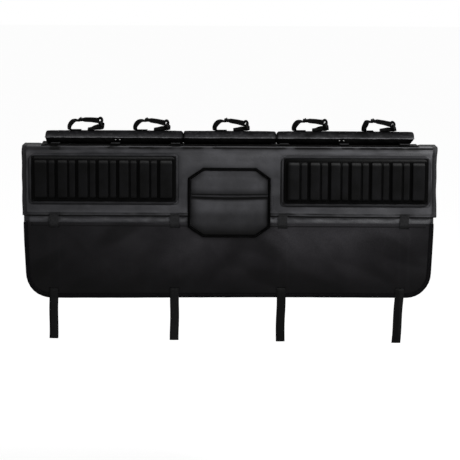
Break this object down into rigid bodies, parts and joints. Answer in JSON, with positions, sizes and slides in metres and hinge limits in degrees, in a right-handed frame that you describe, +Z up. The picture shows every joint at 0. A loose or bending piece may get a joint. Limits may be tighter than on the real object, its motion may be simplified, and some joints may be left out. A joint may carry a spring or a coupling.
{
  "type": "tailgate bike pad",
  "caption": "Padded fabric cover that hangs over a pickup's tailgate, with ribbed bumpers, a flap window, cushions, bike strap loops and tension straps.",
  "frame": {"origin": "middle of the tailgate's top edge, on the underside of the lining", "axes": "+X to the right for someone behind the truck, -Y out of the truck's rear, +Z up, with -Z along the mount tailgate_top"},
  "size_m": [1.449, 0.1402, 0.7876],
  "materials": {
    "coated_fabric": "coated polyester, low sheen, dark grey",
    "apron_fabric": "smooth coated cloth, satin, near black",
    "fleece": "brushed fleece",
    "padding": "cloth-faced foam",
    "binding_tape": "woven tape",
    "webbing": "woven webbing",
    "moulded_foam": "moulded, matte",
    "nylon": "moulded, slight sheen",
    "black_steel": "black coated wire"
  },
  "bodies": {
    "root": {"outer_panel": "coated_fabric", "joining_band_left": "coated_fabric", "joining_band_right": "coated_fabric", "inner_panel": "coated_fabric", "upper_flap": "coated_fabric", "lower_flap": "coated_fabric", "bumper_rim_left": "coated_fabric", "bumper_rim_right": "coated_fabric", "cushion_left": "coated_fabric", "cushion_centre": "coated_fabric", "cushion_right": "coated_fabric", "apron": "apron_fabric", "lining": "fleece", "pad_shell": "padding", "side_binding_left": "binding_tape", "side_binding_right": "binding_tape", "apron_binding": "binding_tape", "inner_binding": "binding_tape", "window_binding": "binding_tape", "base_strip": "webbing", "hem_tab_1": "webbing", "hem_tab_2": "webbing", "hem_tab_3": "webbing", "hem_tab_4": "webbing", "hem_tab_5": "webbing", "hem_tab_6": "webbing", "tension_strap_1": "webbing", "tension_strap_2": "webbing", "tension_strap_3": "webbing", "tension_strap_4": "webbing", "buckle_tab_1": "webbing", "buckle_tab_2": "webbing", "buckle_tab_3": "webbing", "buckle_tab_4": "webbing", "bike_strap_1": "webbing", "bike_strap_2": "webbing", "bike_strap_3": "webbing", "bike_strap_4": "webbing", "bike_strap_5": "webbing", "anchor_tab_1": "webbing", "anchor_tab_2": "webbing", "anchor_tab_3": "webbing", "anchor_tab_4": "webbing", "anchor_tab_5": "webbing", "bumper_left": "moulded_foam", "bumper_right": "moulded_foam", "snap_hook_1": "nylon", "snap_hook_2": "nylon", "snap_hook_3": "nylon", "snap_hook_4": "nylon", "snap_hook_5": "nylon", "strap_buckle_1": "nylon", "strap_buckle_2": "nylon", "strap_buckle_3": "nylon", "strap_buckle_4": "nylon", "strap_ring_1": "black_steel", "strap_ring_2": "black_steel", "strap_ring_3": "black_steel", "strap_ring_4": "black_steel", "strap_ring_5": "black_steel"}
  },
  "joints": []
}
